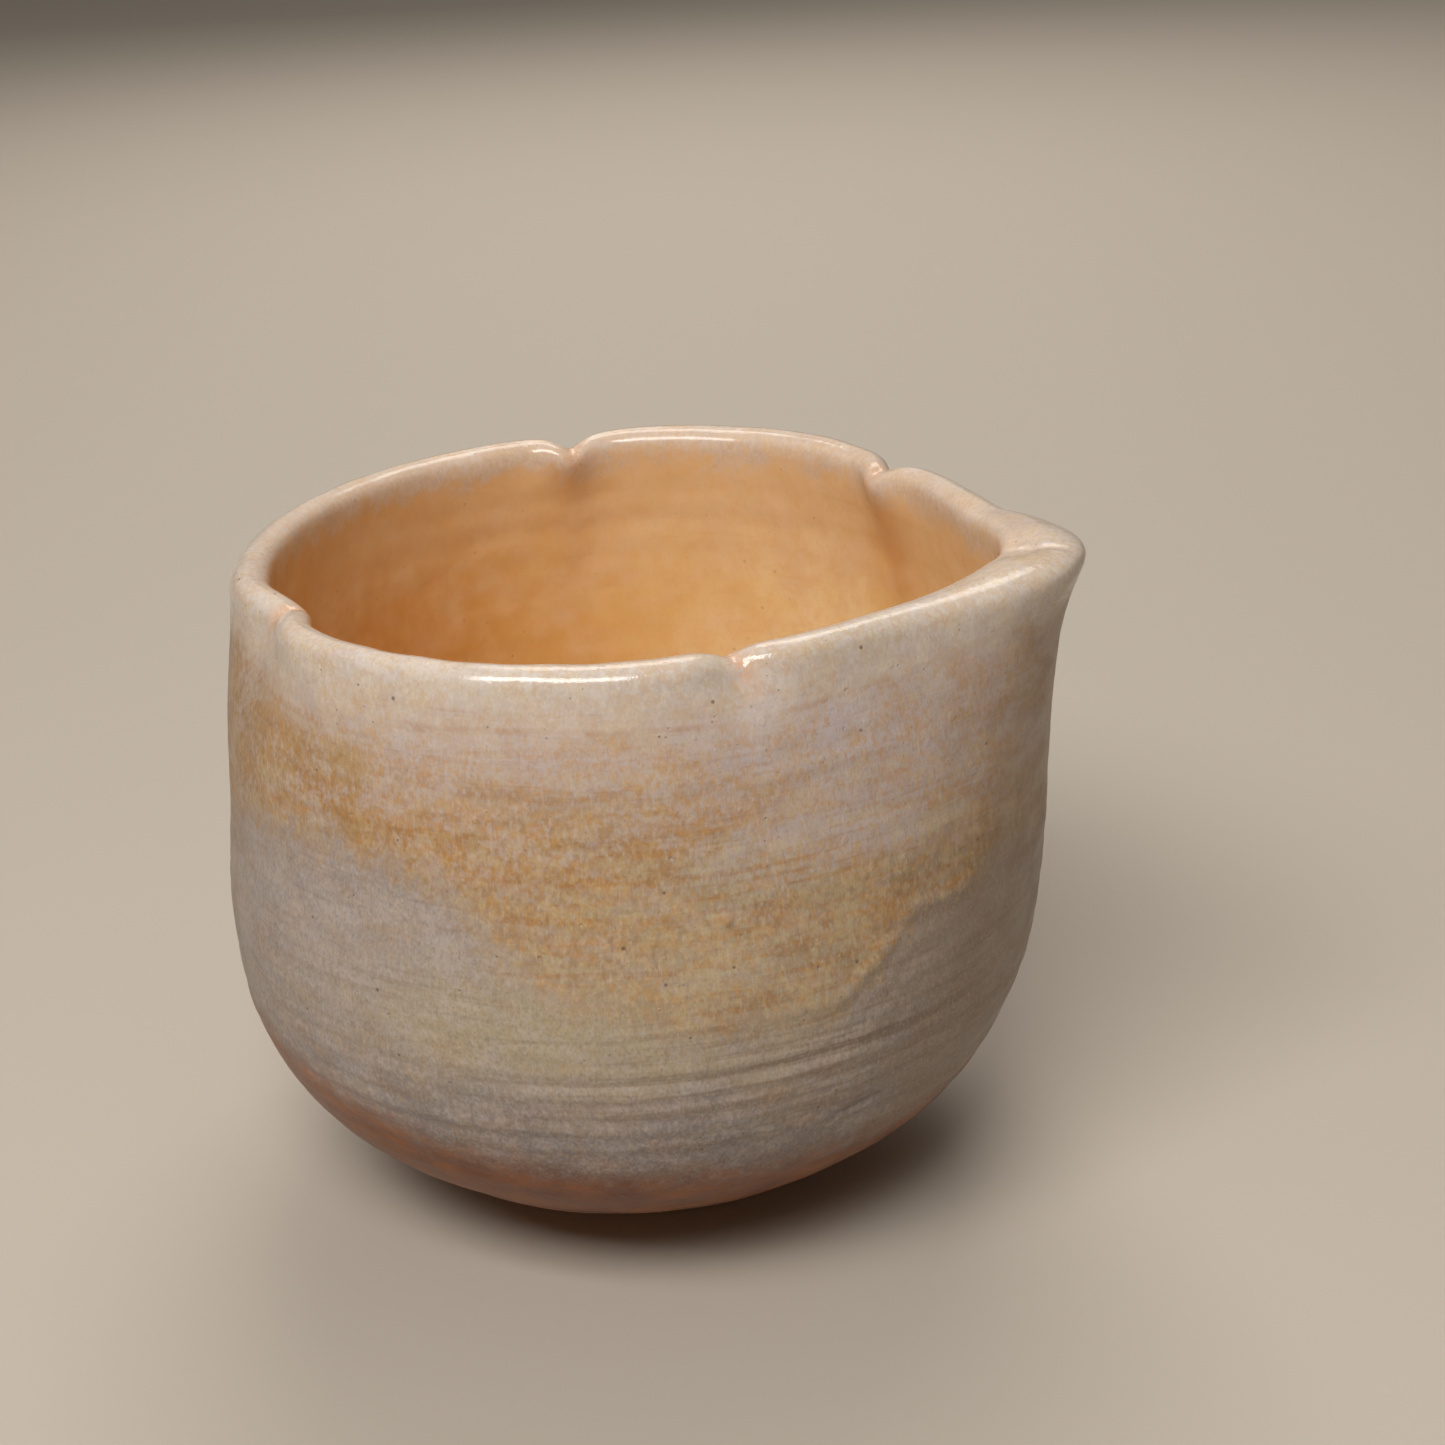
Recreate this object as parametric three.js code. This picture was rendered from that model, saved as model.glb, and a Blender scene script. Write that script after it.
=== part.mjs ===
// A hand-built spouted matcha bowl (katakuchi chawan): a thrown stoneware wall whose rim is pinched
// at four places and pulled out into a pouring spout, a foot ring luted under it, and two glaze
// coats, one poured inside and one dipped outside. Millimetres and degrees, +Z up, the spout along +X.
import * as THREE from "three";

// ---- driving dimensions ----
const RIM_HEIGHT = 99; // top of the lip between the pinches, above the table
const BELLY_RADIUS = 60; // widest radius of the thrown wall
const RIM_RADIUS = { outside: 54.8, inside: 49.4 }; // of the thrown wall, at the foot of the lip
const SPOUT_REACH = { outside: 69.4, inside: 56.6 }; // the same from the axis to the spout's tip
const LIP_ROUND = 2.7; // height of the rounded lip
const GLAZE = 0.7; // thickness of either glaze coat

const FOOT_HEIGHT = 5.5; // table to the underside of the bowl
const FOOT_RADIUS = 25; // outer radius of the foot where it stands
const FOOT_WALL = 5; // width of the ring that it stands on
const FOOT_FLARE = 1.2; // how far the ring widens up to the bowl
const FOOT_CHAMFER = 0.6; // its worn bottom edges
const UNDERSIDE_RADIUS = 28; // flat, trimmed underside of the bowl

const LIP_HEIGHT = RIM_HEIGHT - LIP_ROUND; // where the wall ends and the rounded lip starts

// The thrown wall before it is pulled and pinched, radius and height, outside and inside
const OUTER_PROFILE = [
  [UNDERSIDE_RADIUS, FOOT_HEIGHT],
  [40.5, 10.5],
  [51.5, 19],
  [58.4, 32],
  [BELLY_RADIUS, 48],
  [58.2, 66],
  [56.9, 82],
  [RIM_RADIUS.outside, LIP_HEIGHT],
];
const INNER_PROFILE = [
  [22, 13.4],
  [35, 17.2],
  [45.4, 25],
  [51.8, 35],
  [54, 48],
  [52.7, 66],
  [51.3, 82],
  [RIM_RADIUS.inside, LIP_HEIGHT],
];
const FLOOR_HEIGHT = 12.8; // inside, at the centre

// How far the spout is pulled out of the wall, by height, outside and inside, and how wide it is
const OUTER_PULL = [
  [30, 0],
  [50, 1.9],
  [66, 4.7],
  [80, 7.5],
  [90, 11],
  [LIP_HEIGHT, SPOUT_REACH.outside - RIM_RADIUS.outside],
];
const INNER_PULL = [
  [30, 0],
  [50, 1.8],
  [66, 4.3],
  [80, 6.2],
  [90, 7],
  [LIP_HEIGHT, SPOUT_REACH.inside - RIM_RADIUS.inside],
];
const PULL_WIDTH = { low: 50, rim: 20 }; // half-widths in degrees, below PULL_START and at the rim
const PULL_START = 40;
const SPOUT_RISE = 2.1; // the spout's lip above the rest of the rim
const RISE_WIDTH = 15; // degrees
const SPOUT_CREASE = 1; // depth of the crease folded into the spout's lip
const CREASE_WIDTH = 2.5; // degrees

// The four thumb pinches between the petals: push inwards outside and inside, dip of the lip, and
// reach in degrees towards smaller and larger angles
const PINCHES = [
  { angle: -136.5, outside: 4, inside: 4, dip: 1.4, reach: [6.5, 6.5] },
  { angle: -54, outside: 2.6, inside: 1.3, dip: 1.4, reach: [5.5, 5.5] },
  { angle: 50, outside: 4, inside: 4.4, dip: 1.7, reach: [5, 9] },
  { angle: 116, outside: 3.8, inside: 4, dip: 1.7, reach: [5.5, 4.5] },
];
const PINCH_DEPTH = 14; // how far down the wall a pinch fades away

// Two petals stand a little out of the thrown circle, from one pinch to the next: out and up
const PETALS = [
  { from: 50, to: 116, out: 0.8, up: 0.1 },
  { from: 116, to: 223.5, out: -0.5, up: -0.3 },
];
const PETAL_EDGE = 5; // degrees over which a petal's offset sets in
const PETAL_START = 45; // height where a petal starts to leave the circle

const GLAZE_LINE = 0.12; // share of the wall's height where the outside coat ends above the foot
const COAT_SEAM = 0.75; // share of the lip, from outside, where the two coats meet

// ---- mesh density ----
const WALL_ROWS = 11;
const LIP_ROWS = 4;
const FLOOR_ROWS = 2;
const PLAIN_STEP = 7.5; // degrees between sections along a plain stretch of wall
const FINE_STEPS = [-9, -6, -3, 0, 3, 6, 9]; // degrees around each pinch and the spout
const FOOT_SIDES = 64;

const axisX = (BELLY_RADIUS - SPOUT_REACH.outside) / 2; // the bounding box is centred on the origin

const wrapDegrees = (a) => ((((a + 180) % 360) + 360) % 360) - 180;
const bell = (x, width) => Math.exp(-((x / width) ** 2));

function along(table, height) {
  // straight-line reading of a [height, value] table
  const i = table.findIndex(([h]) => h >= height);
  if (i <= 0) return table[i < 0 ? table.length - 1 : 0][1];
  const [h0, v0] = table[i - 1];
  const [h1, v1] = table[i];
  return THREE.MathUtils.mapLinear(height, h0, h1, v0, v1);
}

function smoothProfile(points) {
  const curve = new THREE.CatmullRomCurve3(
    points.map(([r, z]) => new THREE.Vector3(r, 0, z)),
    false,
    "centripetal",
  );
  return (t) => curve.getPoint(t);
}
const outerProfile = smoothProfile(OUTER_PROFILE);
const innerProfile = smoothProfile(INNER_PROFILE);

function pinchShare(pinch, angle) {
  const offset = wrapDegrees(angle - pinch.angle);
  return bell(offset, pinch.reach[offset < 0 ? 0 : 1]);
}

function petalShare(petal, angle) {
  const middle = (petal.from + petal.to) / 2;
  const half = (petal.to - petal.from) / 2;
  const inside = half - Math.abs(wrapDegrees(angle - middle));
  return THREE.MathUtils.smoothstep(inside, -PETAL_EDGE, PETAL_EDGE);
}

const total = (list, value) => list.reduce((sum, item) => sum + value(item), 0);

function rimHeight(angle) {
  const dips = total(PINCHES, (p) => p.dip * pinchShare(p, angle));
  const ups = total(PETALS, (p) => p.up * petalShare(p, angle));
  const rise = SPOUT_RISE * bell(wrapDegrees(angle), RISE_WIDTH);
  return RIM_HEIGHT + rise + ups - dips;
}

function wallPoint(angle, t, side) {
  // t runs from the bottom of the wall to the foot of the lip; side is "outside" or "inside"
  const plain = side === "outside" ? outerProfile(t) : innerProfile(t);
  const height = plain.z;
  const pull = along(side === "outside" ? OUTER_PULL : INNER_PULL, height);
  const rise = THREE.MathUtils.smoothstep(height, PULL_START, RIM_HEIGHT);
  const width = THREE.MathUtils.lerp(PULL_WIDTH.low, PULL_WIDTH.rim, rise);
  const fade = bell(RIM_HEIGHT - height, PINCH_DEPTH);
  const open = THREE.MathUtils.smoothstep(height, PETAL_START, LIP_HEIGHT);
  const pushed = total(PINCHES, (p) => p[side] * pinchShare(p, angle)) * fade;
  const petals = total(PETALS, (p) => p.out * petalShare(p, angle)) * open;
  const r = plain.x + pull * bell(wrapDegrees(angle), width) + petals - pushed;
  const share = (height - FOOT_HEIGHT) / (RIM_HEIGHT - FOOT_HEIGHT);
  return new THREE.Vector2(r, height + (rimHeight(angle) - RIM_HEIGHT) * share ** 2);
}

function section(angle) {
  // the glazed surface at one angle: underside, outside wall, lip, inside wall, floor
  const points = [];
  const tags = [];
  const add = (p, tag) => {
    points.push(p);
    tags.push(tag);
  };
  for (let i = 0; i <= WALL_ROWS; i++) {
    const t = i / WALL_ROWS;
    add(wallPoint(angle, t, "outside"), t < GLAZE_LINE ? "bare" : "outside");
  }
  const outer = points[points.length - 1];
  const inner = wallPoint(angle, 1, "inside");
  const middle = (outer.x + inner.x) / 2;
  const half = (outer.x - inner.x) / 2;
  const crease = SPOUT_CREASE * bell(wrapDegrees(angle), CREASE_WIDTH);
  for (let i = 1; i < LIP_ROWS; i++) {
    const a = (Math.PI * i) / LIP_ROWS;
    const z = outer.y + (LIP_ROUND - crease) * Math.sin(a);
    add(new THREE.Vector2(middle + half * Math.cos(a), z), i / LIP_ROWS < COAT_SEAM ? "outside" : "seam");
  }
  for (let i = WALL_ROWS; i >= 0; i--) add(wallPoint(angle, i / WALL_ROWS, "inside"), "inside");
  const last = points[points.length - 1];
  for (let i = 1; i <= FLOOR_ROWS; i++) {
    const s = 1 - i / (FLOOR_ROWS + 1);
    const z = THREE.MathUtils.lerp(FLOOR_HEIGHT, last.y, s * s);
    add(new THREE.Vector2(last.x * s, z), "inside");
  }
  return { points, tags };
}

function inset(points, depth) {
  // the same section moved into the clay, square to its surface
  return points.map((p, i) => {
    const before = points[Math.max(i - 1, 0)];
    const after = points[Math.min(i + 1, points.length - 1)];
    if (i === 0) return new THREE.Vector2(p.x - depth, p.y);
    const direction = after.clone().sub(before).normalize();
    return new THREE.Vector2(p.x - depth * direction.y, p.y + depth * direction.x);
  });
}

function sectionAngles() {
  const features = [0, ...PINCHES.map((p) => p.angle)];
  const reach = Math.max(...FINE_STEPS) + PLAIN_STEP / 3;
  const angles = [];
  for (let a = -180; a < 180; a += PLAIN_STEP) {
    if (features.every((f) => Math.abs(wrapDegrees(a - f)) > reach)) angles.push(a);
  }
  for (const f of features) angles.push(...FINE_STEPS.map((d) => wrapDegrees(f + d)));
  return angles.sort((a, b) => a - b);
}

const ANGLES = sectionAngles();
const GLAZED = ANGLES.map(section);
const CLAY = GLAZED.map((s) => inset(s.points, GLAZE));
const TAGS = GLAZED[0].tags;

function ring(sections, row) {
  return sections.map((points, i) => {
    const a = THREE.MathUtils.degToRad(ANGLES[i]);
    const p = points[row];
    return new THREE.Vector3(axisX + p.x * Math.cos(a), p.x * Math.sin(a), p.y);
  });
}

function loft(rings, { bottom = null, top = null, shared = [0, 0] } = {}) {
  // closed surface through the rings: capped by a bottom and a top point, or joined back on itself.
  // The shared bands of squares retrace a neighbour's surface backwards, so they are split along the
  // other diagonal, which makes them meet that neighbour face to face.
  const n = ANGLES.length;
  const positions = rings.flat().flatMap((v) => [v.x, v.y, v.z]);
  const index = [];
  const rows = rings.length;
  const last = bottom ? rows - 1 : rows;
  for (let i = 0; i < last; i++) {
    for (let j = 0; j < n; j++) {
      const k = (j + 1) % n;
      const up = (i + 1) % rows;
      const [a, b, c, d] = [i * n + j, i * n + k, up * n + k, up * n + j];
      if (i >= shared[0] && i < shared[1]) index.push(a, b, d, b, c, d);
      else index.push(a, b, c, a, c, d);
    }
  }
  if (bottom) {
    const low = positions.length / 3;
    positions.push(bottom.x, bottom.y, bottom.z, top.x, top.y, top.z);
    for (let j = 0; j < n; j++) {
      const k = (j + 1) % n;
      index.push(low, k, j);
      index.push(low + 1, (rows - 1) * n + j, (rows - 1) * n + k);
    }
  }
  const geometry = new THREE.BufferGeometry();
  geometry.setAttribute("position", new THREE.Float32BufferAttribute(positions, 3));
  geometry.setIndex(index);
  geometry.computeVertexNormals();
  return geometry;
}

const glazedRing = (row) => ring(GLAZED.map((s) => s.points), row);
const clayRing = (row) => ring(CLAY, row);
const rowsTagged = (...wanted) => TAGS.map((t, i) => (wanted.includes(t) ? i : -1)).filter((i) => i >= 0);
const onAxis = (z) => new THREE.Vector3(axisX, 0, z);

function clayBody() {
  const rings = TAGS.map((_, row) => clayRing(row));
  return loft(rings, { bottom: onAxis(FOOT_HEIGHT), top: onAxis(FLOOR_HEIGHT - GLAZE) });
}

function outerGlaze() {
  const rows = rowsTagged("outside", "seam");
  const over = rows.map(glazedRing);
  const under = [...rows].reverse().map(clayRing);
  return loft([...over, ...under], { shared: [over.length, over.length + under.length - 1] });
}

function innerGlaze() {
  const rows = rowsTagged("seam", "inside");
  const under = [...rows].reverse().map(clayRing);
  const over = rows.map(glazedRing);
  const caps = { bottom: onAxis(FLOOR_HEIGHT - GLAZE), top: onAxis(FLOOR_HEIGHT) };
  return loft([...under, ...over], { ...caps, shared: [0, under.length] });
}

function footRing() {
  const inner = FOOT_RADIUS - FOOT_WALL;
  const profile = [
    [inner - FOOT_FLARE / 2, FOOT_HEIGHT],
    [inner, FOOT_CHAMFER],
    [inner + FOOT_CHAMFER, 0],
    [FOOT_RADIUS - FOOT_CHAMFER, 0],
    [FOOT_RADIUS, FOOT_CHAMFER],
    [FOOT_RADIUS + FOOT_FLARE, FOOT_HEIGHT],
  ].map(([r, z]) => new THREE.Vector2(r, z));
  const geometry = new THREE.LatheGeometry([...profile, profile[0]], FOOT_SIDES);
  geometry.rotateX(Math.PI / 2);
  geometry.translate(axisX, 0, 0);
  return geometry;
}

function piece(name, geometry, color, roughness) {
  const material = new THREE.MeshStandardMaterial({ color, roughness, metalness: 0 });
  const mesh = new THREE.Mesh(geometry, material);
  mesh.name = name;
  return mesh;
}

const bowl = new THREE.Group();
bowl.add(piece("clay_body", clayBody(), 0x8a5a3a, 0.7));
bowl.add(piece("foot_ring", footRing(), 0x94623f, 0.75));
bowl.add(piece("outer_glaze", outerGlaze(), 0xc9b59b, 0.3));
bowl.add(piece("inner_glaze", innerGlaze(), 0xb98046, 0.3));

export default bowl;
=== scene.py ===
import math
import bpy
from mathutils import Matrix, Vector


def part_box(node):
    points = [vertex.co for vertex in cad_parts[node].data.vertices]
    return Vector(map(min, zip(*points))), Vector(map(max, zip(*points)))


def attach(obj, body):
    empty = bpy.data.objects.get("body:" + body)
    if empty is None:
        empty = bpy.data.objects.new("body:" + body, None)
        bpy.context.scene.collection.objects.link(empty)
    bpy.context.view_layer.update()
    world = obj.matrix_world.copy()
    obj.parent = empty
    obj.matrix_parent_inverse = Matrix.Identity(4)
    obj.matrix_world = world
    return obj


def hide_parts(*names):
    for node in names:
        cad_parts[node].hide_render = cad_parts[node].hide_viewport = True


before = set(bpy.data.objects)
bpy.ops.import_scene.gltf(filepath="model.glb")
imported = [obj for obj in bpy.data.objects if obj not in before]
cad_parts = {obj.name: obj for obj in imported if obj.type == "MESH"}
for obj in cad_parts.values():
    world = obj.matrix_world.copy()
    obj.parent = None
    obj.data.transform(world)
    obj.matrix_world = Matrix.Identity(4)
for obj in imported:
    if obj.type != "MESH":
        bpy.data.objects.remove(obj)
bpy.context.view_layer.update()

from types import SimpleNamespace

import bpy
import numpy as np
from mathutils import Matrix, Vector

# The looks of a spouted matcha bowl: bare stoneware, a turned foot ring and two coats of glaze, each
# a fine mesh that stands for one CAD node. Shapes are worked out in millimetres and degrees around
# the bowl's own axis, the spout at angle 0 along +X, and become metres in the row frame.

FOOT_LOW, FOOT_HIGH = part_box("foot_ring")
MM = 0.001

# ---- driving dimensions, as in the CAD ----
AXIS_X = (FOOT_LOW.x + FOOT_HIGH.x) / 2 / MM
FOOT_HEIGHT = FOOT_HIGH.z / MM
FOOT_RADIUS = 25
FOOT_WALL = 5
FOOT_FLARE = 1.2
FOOT_WEAR = 1.1
RIM_HEIGHT = 99
LIP_ROUND = 2.7
LIP_HEIGHT = RIM_HEIGHT - LIP_ROUND
GLAZE = 0.7
FLOOR_HEIGHT = 12.8
UNDERSIDE_RADIUS = 28
OUTER_PROFILE = [
    (UNDERSIDE_RADIUS, FOOT_HEIGHT), (40.5, 10.5), (51.5, 19), (58.4, 32),
    (60, 48), (58.2, 66), (56.9, 82), (54.8, LIP_HEIGHT),
]
INNER_PROFILE = [
    (0, FLOOR_HEIGHT), (11, FLOOR_HEIGHT + 0.1), (22, 13.4), (35, 17.2), (45.4, 25),
    (51.8, 35), (54, 48), (52.7, 66), (51.3, 82), (49.4, LIP_HEIGHT),
]
OUTER_PULL = [(30, 0), (50, 1.9), (66, 4.7), (80, 7.5), (90, 11), (LIP_HEIGHT, 14.6)]
INNER_PULL = [(30, 0), (50, 1.8), (66, 4.3), (80, 6.2), (90, 7), (LIP_HEIGHT, 7.2)]
PULL_WIDTH_LOW = 50
PULL_WIDTH_RIM = 20
PULL_START = 40
SPOUT_RISE = 2.1
RISE_WIDTH = 15
PINCHES = [
    dict(angle=-136.5, outside=3.8, inside=3.8, dip=1.2, reach=(6.5, 6), depth=12),
    dict(angle=-54, outside=2.3, inside=1.2, dip=1.3, reach=(4.5, 4.5), depth=5.5),
    dict(angle=50, outside=3.2, inside=3.4, dip=1.3, reach=(4, 4), depth=8),
    dict(angle=116, outside=3.0, inside=2.8, dip=1.4, reach=(3.8, 3.2), depth=6),
]
SHOULDERS = [  # gentler hollows that lead up to the pinches and the spout
    dict(angle=57, outside=1.0, inside=0.9, dip=0.5, reach=(8, 10), depth=16),
    dict(angle=112, outside=0.9, inside=0.3, dip=0.5, reach=(10, 6), depth=16),
    dict(angle=20, outside=0.7, inside=0, dip=0.5, reach=(6, 6), depth=14),
]
PINCH_SPREAD = 8  # a pinch is twice as wide this far below the rim
SWAY_DEPTH = 0.3  # how far the hand let the wall wander
BELLY = 59  # radius that spots on the wall are measured at
PETALS = [
    dict(start=50, end=116, out=0.8, up=0.1),
    dict(start=116, end=223.5, out=-0.5, up=-0.3),
]
PETAL_EDGE = 5
PETAL_START = 45

# ---- hand marks that only the looks need ----
FOLDS = [  # hairline folds in the lip: depth, width and slant in degrees, middle from outside to inside
    dict(angle=-136.5, depth=0.55, width=0.9, slant=0.8, middle=-0.4),
    dict(angle=-54, depth=0.4, width=1.2, slant=-1.6, middle=-0.3),
    dict(angle=50.5, depth=0.45, width=1.1, slant=1.0, middle=0.2),
    dict(angle=115.5, depth=0.4, width=1.1, slant=-0.5, middle=0.2),
    dict(angle=-0.8, depth=0.4, width=0.7, slant=0.5, middle=0),  # the crease along the spout
    dict(angle=-0.8, depth=1.1, width=4.2, slant=0.5, middle=0.5),  # and the channel it lies in
]
FOLD_REACH = 2.6  # how far below the rim a fold fades away
RING_DEPTH = 0.065
INNER_RING_DEPTH = 0.035
DIMPLE_DEPTH = 0.035
DIP_STEP = 0.13  # what the second dip adds to the glaze
BUMP = (-59, 64.4)  # the lump under the glaze in front, at that angle and height
HOOK = (-35.5, 57.2)  # the fold at the end of the second dip's edge
CRACK = [(-44.2 + step * 0.9, 30.6 + step * 0.16) for step in range(9)]
PITS = [
    (-73, 73.3), (-72.5, 78.2), (-51.6, 71.7), (-47, 69.1), (-36.5, 57.1), (-15.7, 95.2),
    (-26.4, 70.5), (-65, 61.2), (-61, 67.6), (-60.7, 55.5), (-38, 85.7), (-36, 77.6),
    (-90, 41.5), (-51, 44.7), (-43, 27.3), (-125, 65), (24, 71), (38, 44), (61, 79), (83, 52),
    (97, 68), (109, 37), (131, 82), (148, 58), (165, 73), (-168, 47), (-155, 80), (9, 38),
]

# ---- where the glazes lie: closed curves of angle and height ----
GLAZE_LINE = [(-180, 11.6), (-130, 11), (-85, 12), (-30, 11.2), (25, 12.3), (85, 11), (140, 12.2)]
SECOND_DIP = [
    (-180, 61), (-160, 63), (-145, 66), (-128, 70), (-110, 71.5), (-96, 69), (-89, 61), (-80, 55),
    (-68, 50.5), (-55, 48), (-44, 49), (-38, 53), (-33, 58.3), (-27, 58), (-19, 60), (-8, 60.5),
    (2, 56), (16, 52), (34, 57), (56, 64), (80, 60), (104, 67), (128, 71), (154, 64),
]
OCHRE_TOP = [
    (-180, 86), (-145, 91), (-130, 87), (-118, 82), (-107, 78), (-98, 76.5), (-86, 80),
    (-74, 79), (-52, 73), (-35, 67), (-15, 66), (10, 72), (40, 80), (80, 84), (130, 88),
]
# the upper edge of the band near the foot, which is partly the fire's flash and partly painted shade
FLASH_AND_SHADE_EDGE = [
    (-180, 35), (-140, 37), (-118, 33), (-95, 28.5), (-65, 25), (-25, 23), (15, 26), (70, 30),
    (125, 29),
]
THREADS = [  # thin orange throwing lines: height, and the angles they run between
    (94, -100, -62), (94, -50, -28), (90.5, -102, -58), (90.5, -50, -30), (76.5, -106, -88),
    (71, -96, -60), (62, -96, -70), (58.5, -90, -72), (87, 20, 74), (73, 60, 118), (66, 95, 150),
    (91, 128, 172), (80, -176, -146), (63, -178, -150),
]
THREAD_HEIGHTS = sorted({height for height, _, _ in THREADS})
EMBERS = [  # where the second dip burnt orange: angle, height and the reach in both
    (-124, 84, 8, 3.0), (-113, 79.5, 7, 2.6), (-100, 74.5, 9, 2.0), (-86, 72, 8, 1.8),
    (-51, 81, 5, 1.6), (30, 78, 8, 2.5), (70, 81, 10, 3.0), (120, 84, 9, 3.0), (150, 80, 8, 2.5),
    (-165, 82, 8, 3.0),
]


def wrap(degrees):
    """The same angle between -180 and 180."""
    return (degrees + 180) % 360 - 180


def bell(x, width):
    """1 at 0, falling off to both sides over the width."""
    return np.exp(-((x / width) ** 2))


def smoothstep(x, low, high):
    """0 below low, 1 above high, smooth between."""
    t = np.clip((x - low) / (high - low), 0, 1)
    return t * t * (3 - 2 * t)


def lerp(a, b, t):
    return a + (b - a) * t


def window(angle, low, high, edge=4):
    """1 between two angles and 0 elsewhere, with soft edges."""
    middle, half = (low + high) / 2, (high - low) / 2
    return smoothstep(half - np.abs(wrap(angle - middle)), -edge, edge)


def smooth_curve(points, count=800):
    """A centripetal Catmull-Rom curve through the points, sampled evenly along its length."""
    p = np.array(points, float)
    p = np.vstack([2 * p[0] - p[1], p, 2 * p[-1] - p[-2]])
    gap = np.linalg.norm(np.diff(p, axis=0), axis=1) ** 0.5
    t = np.linspace(0, 1, 40)[:, None]
    path = []
    for i in range(1, len(p) - 2):
        a, b, c = gap[i - 1:i + 2]
        step = (p[i + 1] - p[i]) / b
        leave = b * ((p[i] - p[i - 1]) / a - (p[i + 1] - p[i - 1]) / (a + b) + step)
        arrive = b * (step - (p[i + 2] - p[i]) / (b + c) + (p[i + 2] - p[i + 1]) / c)
        path.append(
            (2 * t**3 - 3 * t**2 + 1) * p[i] + (t**3 - 2 * t**2 + t) * leave
            + (3 * t**2 - 2 * t**3) * p[i + 1] + (t**3 - t**2) * arrive
        )
    path = np.vstack(path)
    run = np.concatenate([[0], np.cumsum(np.linalg.norm(np.diff(path, axis=0), axis=1))])
    even = np.linspace(0, run[-1], count)
    return np.stack([np.interp(even, run, column) for column in path.T], axis=1)


def read_curve(curve, x):
    """The curve's second value where its first is x."""
    return np.interp(x, curve[:, 0], curve[:, 1])


def around(table, angle, softness=2.5):
    """A closed table of angle and value, read with its corners softened."""
    keys, values = map(np.array, zip(*table))
    fine = np.arange(-180, 180, 0.5)
    read = np.interp(fine, np.concatenate([keys - 360, keys, keys + 360]), np.tile(values, 3))
    weights = bell(wrap(fine), softness)
    soft = np.fft.ifft(np.fft.fft(read) * np.fft.fft(np.roll(weights, -360))).real / weights.sum()
    return np.interp(wrap(angle), np.append(fine, 180), np.append(soft, soft[0]))


class Waves:
    """Smooth random unevenness that closes around the bowl, about -1 to 1."""

    def __init__(self, seed, turns, rise, count=14):
        draw = np.random.default_rng(seed)
        self.turns = draw.integers(turns[0], turns[1] + 1, count) * draw.choice([-1, 1], count)
        self.rise = draw.uniform(*rise, count)
        self.phase = draw.uniform(0, 2 * np.pi, count)

    def __call__(self, angle, height):
        total = sum(
            np.sin(k * np.radians(angle) + m * 2 * np.pi * height + f)
            for k, m, f in zip(self.turns, self.rise, self.phase)
        )
        return total / np.sqrt(len(self.turns))


OUTER = smooth_curve(OUTER_PROFILE)
INNER = smooth_curve(INNER_PROFILE)
PULLS = {"outside": smooth_curve(OUTER_PULL), "inside": smooth_curve(INNER_PULL)}
SWAY = {"outside": Waves(3, (2, 5), (0, 0.012)), "inside": Waves(4, (2, 5), (0, 0.012))}
RINGS = {"outside": Waves(11, (0, 2), (0.15, 0.38), 10), "inside": Waves(12, (0, 1), (0.10, 0.2), 6)}
RING_STRENGTH = Waves(13, (1, 5), (0, 0.03))
DIMPLES = Waves(14, (12, 40), (0.03, 0.12), 24)
EDGE_DRIFT = Waves(15, (8, 30), (0, 0.02), 16)


def pinch_share(pinch, angle, width=1.0):
    """How much of the pinch an angle gets, 0 to 1. It reaches differently far to its two sides."""
    offset = wrap(angle - pinch["angle"])
    low, high = pinch["reach"]
    return bell(offset, width * np.where(offset < 0, low, high))


def petal_share(petal, angle):
    """1 between the pinches that bound the petal, 0 elsewhere."""
    middle = (petal["start"] + petal["end"]) / 2
    half = (petal["end"] - petal["start"]) / 2
    return smoothstep(half - np.abs(wrap(angle - middle)), -PETAL_EDGE, PETAL_EDGE)


def rim_height(angle):
    """Height of the rim's crest above the table."""
    dips = sum(p["dip"] * pinch_share(p, angle, 0.85) for p in PINCHES + SHOULDERS)
    ups = sum(p["up"] * petal_share(p, angle) for p in PETALS)
    rise = SPOUT_RISE * bell(wrap(angle), RISE_WIDTH)
    return RIM_HEIGHT + rise + ups - dips


def wall(angle, t, side):
    """Radius, height and unstretched height of the wall, t from its bottom to the foot of the lip."""
    curve = OUTER if side == "outside" else INNER
    share = np.linspace(0, 1, len(curve))
    plain = np.interp(t, share, curve[:, 0]) + 0 * angle
    height = np.interp(t, share, curve[:, 1]) + 0 * angle
    width = lerp(PULL_WIDTH_LOW, PULL_WIDTH_RIM, smoothstep(height, PULL_START, RIM_HEIGHT))
    pull = read_curve(PULLS[side], height) * bell(wrap(angle), width)
    below = RIM_HEIGHT - height
    pushed = sum(
        p[side] * pinch_share(p, angle, 1 + below / PINCH_SPREAD) * bell(below, p["depth"])
        for p in PINCHES + SHOULDERS
    )
    petals = sum(p["out"] * petal_share(p, angle) for p in PETALS)
    petals = petals * smoothstep(height, PETAL_START, LIP_HEIGHT)
    sway = SWAY_DEPTH * SWAY[side](angle, height) * smoothstep(plain, 8, 45)
    r = plain + pull + petals - pushed + sway
    if side == "inside":
        r = np.where(plain > 0, r, 0)
    stretch = np.clip((height - FOOT_HEIGHT) / (RIM_HEIGHT - FOOT_HEIGHT), 0, 1) ** 2
    return r, height + (rim_height(angle) - RIM_HEIGHT) * stretch, height


def second_dip(angle):
    """Height of the second dip's lower edge."""
    return around(SECOND_DIP, angle) + 0.45 * EDGE_DRIFT(angle, 0)


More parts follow.
